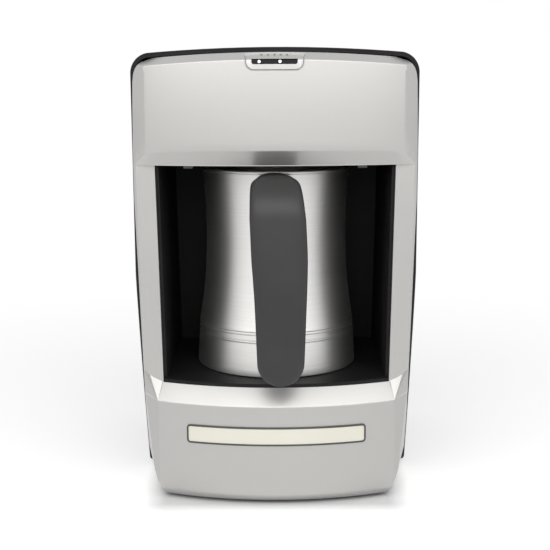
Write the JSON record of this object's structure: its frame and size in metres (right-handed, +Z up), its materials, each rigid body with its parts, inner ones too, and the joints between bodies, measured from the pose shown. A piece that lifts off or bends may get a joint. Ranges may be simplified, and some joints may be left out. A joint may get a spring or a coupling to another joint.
{
  "type": "electric turkish coffee maker",
  "caption": "Electric Turkish coffee maker with an arched silver front, an open cavity, a one-touch start button and a pull-out steel pot with a long handle.",
  "frame": {"origin": "on the table, under the middle of the bounding box", "axes": "+Z up, front of the machine and pot handle towards -Y, +X to the right seen from the front"},
  "size_m": [0.1544, 0.1924, 0.2468],
  "materials": {
    "silver_paint": "satin silver paint",
    "black_plastic": "fine texture",
    "liner_plastic": "satin",
    "grey_plastic": "satin",
    "rubber_black": "matt",
    "zinc_steel": "zinc plated",
    "cream_plate": "printed plate",
    "dark_frame": "satin",
    "board_green": "solder mask",
    "component_black": "moulded",
    "led_white": "clear",
    "sensor_red": "tinted lens",
    "brass_contact": "polished",
    "coil_yellow": "tape",
    "relay_blue": "moulded",
    "capacitor_sleeve": "sleeve",
    "fuse_glass": "clear",
    "terminal_white": "moulded",
    "wire_red": "silicone",
    "pot_steel": "brushed round the axis",
    "cast_aluminium": "as cast",
    "element_steel": "tube",
    "ceramic_white": "steatite",
    "handle_plastic": "fine matt",
    "window_black": "gloss",
    "lens_white": "translucent"
  },
  "bodies": {
    "machine": {"front_fascia": "silver_paint", "rear_housing": "black_plastic", "cavity_liner": "liner_plastic", "liner_clips": "grey_plastic", "base_plate": "black_plastic", "rubber_feet": "rubber_black", "base_screws": "zinc_steel", "fascia_screws": "zinc_steel", "label_plate": "cream_plate", "label_bezel": "dark_frame", "control_board": "board_green", "tact_switch": "component_black", "board_leds": "led_white", "board_screws": "zinc_steel", "buzzer": "component_black", "sensor_housing": "component_black", "sensor_lens": "sensor_red", "contact_block": "component_black", "contact_pins": "brass_contact", "power_board": "board_green", "power_board_screws": "zinc_steel", "transformer": "coil_yellow", "relay": "relay_blue", "capacitor": "capacitor_sleeve", "fuse": "fuse_glass", "terminal_block": "terminal_white", "inlet_gland": "rubber_black", "wire_loom": "wire_red"},
    "pot": {"pot_body": "pot_steel", "base_skirt": "pot_steel", "pot_seal_ring": "rubber_black", "heat_plate": "cast_aluminium", "heating_element": "element_steel", "pot_thermostat": "ceramic_white", "pot_base_cover": "black_plastic", "pot_base_screws": "zinc_steel", "pot_connector": "component_black", "pot_contacts": "brass_contact", "handle": "handle_plastic", "handle_bracket": "zinc_steel", "handle_screw": "zinc_steel"},
    "button": {"start_button": "silver_paint", "button_window": "window_black", "indicator_lenses": "lens_white"}
  },
  "joints": [
    {"name": "pot_slide", "type": "slide", "parent": "machine", "child": "pot", "axis": [0, -1, 0], "range_m": [0, 0.16]},
    {"name": "button_press", "type": "slide", "parent": "machine", "child": "button", "axis": [0, 1, 0], "range_m": [0, 0.0015], "stiffness_N_per_m": 600}
  ]
}
